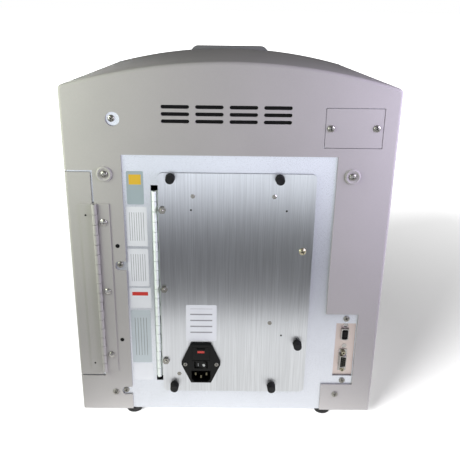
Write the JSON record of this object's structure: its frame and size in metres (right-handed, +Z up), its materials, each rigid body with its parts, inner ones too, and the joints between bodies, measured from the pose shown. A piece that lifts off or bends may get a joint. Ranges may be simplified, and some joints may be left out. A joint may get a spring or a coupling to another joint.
{
  "type": "cell viability analyzer",
  "caption": "Bench analyzer with arched painted cover, hinged reagent door, hinged rear service door with power inlet, and a front sample bay with carousel and probe.",
  "frame": {"origin": "centre of the bounding box's bottom face, on the bench under the feet", "axes": "+Z up, front faces -Y, the back with the service door and power inlet faces +Y"},
  "size_m": [0.38, 0.41, 0.4559],
  "materials": {
    "painted_cover": "fine textured satin paint",
    "fascia_plastic": "satin moulded plastic",
    "bare_plate": "satin",
    "brushed_plate": "brushed",
    "inner_steel": "satin",
    "bright_steel": "satin",
    "bracket_plate": "satin",
    "black_rubber": "matt",
    "black_foam": "matt open foam",
    "black_plastic": "satin",
    "dark_liner": "matt",
    "pale_plastic": "satin",
    "brass_plate": "satin",
    "clear_glass": "clear",
    "status_green": "gloss",
    "board_green": "satin",
    "pump_metal": "anodised",
    "carton": "matt",
    "blue_cap": "satin",
    "magnet": "matt",
    "white_flask": "translucent satin"
  },
  "bodies": {
    "cabinet": {"outer_cover": "painted_cover", "base_plate": "inner_steel", "chassis_plate": "bare_plate", "bulkhead": "inner_steel", "reagent_bay": "inner_steel", "feet": "black_rubber", "vent_filter": "black_foam", "option_cover": "painted_cover", "cup_washers": "painted_cover", "panel_screws": "bright_steel", "side_hinge_fixed_leaf": "painted_cover", "side_hinge_pin": "bright_steel", "rear_hinge_fixed_leaf": "bright_steel", "rear_hinge_pin": "bright_steel", "door_magnet": "magnet", "port_bracket": "bracket_plate", "data_port": "bright_steel", "serial_port": "bright_steel", "front_fascia": "fascia_plastic", "bay_liner": "dark_liner", "sample_stage": "dark_liner", "carousel_motor": "black_plastic", "status_lens": "status_green", "probe_frame": "inner_steel", "probe_rails": "bright_steel", "probe_motor": "black_plastic", "pump_body": "pump_metal", "syringe_barrel": "clear_glass", "optics_bench": "pump_metal", "lamp": "black_plastic", "objective": "black_plastic", "flow_cell": "clear_glass", "camera": "black_plastic", "power_supply": "inner_steel", "controller_board": "board_green", "board_spacers": "brass_plate", "fan_frame": "black_plastic", "reagent_pack": "carton", "bottle_caps": "blue_cap", "waste_bottle": "white_flask"},
    "reagent_door": {"side_hinge_door_leaf": "painted_cover", "reagent_door": "painted_cover"},
    "service_door": {"rear_hinge_door_leaf": "bright_steel", "service_door": "brushed_plate", "door_nuts": "bright_steel", "bumpers": "black_rubber", "door_lock_screw": "brass_plate", "inlet_body": "black_plastic", "inlet_pins": "bright_steel", "fuses": "clear_glass"},
    "fuse_cover": {"fuse_cover": "black_plastic"},
    "rocker": {"rocker_switch": "black_plastic"},
    "carousel": {"carousel": "pale_plastic", "carousel_shaft": "bright_steel"},
    "probe": {"probe_carriage": "pale_plastic", "probe_needle": "bright_steel"},
    "probe_screw": {"lead_screw": "bright_steel"},
    "plunger": {"syringe_plunger": "pale_plastic"},
    "valve": {"valve_rotor": "pale_plastic"},
    "fan_rotor": {"fan_rotor": "black_plastic"}
  },
  "joints": [
    {"name": "reagent_door_hinge", "type": "hinge", "parent": "cabinet", "child": "reagent_door", "pos_m": [0.1574, 0.1979, 0.1808], "axis": [0, 0, 1], "range_deg": [0, 110]},
    {"name": "service_door_hinge", "type": "hinge", "parent": "cabinet", "child": "service_door", "pos_m": [0.0878, 0.1923, 0.1834], "axis": [0, 0, -1], "range_deg": [0, 115]},
    {"name": "fuse_cover_hinge", "type": "hinge", "parent": "service_door", "child": "fuse_cover", "pos_m": [0.0337, 0.1977, 0.0859], "axis": [-1, 0, 0], "range_deg": [0, 90]},
    {"name": "rocker_pivot", "type": "hinge", "parent": "service_door", "child": "rocker", "pos_m": [0.0337, 0.1964, 0.0783], "axis": [0, 0, 1], "range_deg": [0, 20]},
    {"name": "carousel_spin", "type": "hinge", "parent": "cabinet", "child": "carousel", "pos_m": [0, -0.105, 0.06], "axis": [0, 0, 1], "continuous": true},
    {"name": "probe_slide", "type": "slide", "parent": "cabinet", "child": "probe", "axis": [0, 0, -1], "range_m": [0, 0.05]},
    {"name": "probe_screw_spin", "type": "hinge", "parent": "cabinet", "child": "probe_screw", "pos_m": [0, -0.008, 0.3], "axis": [0, 0, 1], "range_deg": [-10, 2270]},
    {"name": "plunger_slide", "type": "slide", "parent": "cabinet", "child": "plunger", "axis": [0, 0, -1], "range_m": [0, 0.055]},
    {"name": "valve_turn", "type": "hinge", "parent": "cabinet", "child": "valve", "pos_m": [0.122, -0.11, 0.235], "axis": [0, 1, 0], "range_deg": [0, 270]},
    {"name": "fan_spin", "type": "hinge", "parent": "cabinet", "child": "fan_rotor", "pos_m": [0.004, 0.18, 0.399], "axis": [0, 1, 0], "continuous": true}
  ],
  "couplings": [
    {"joint": "probe_screw_spin", "follows": "probe_slide", "rad_per_m": 785.4}
  ]
}
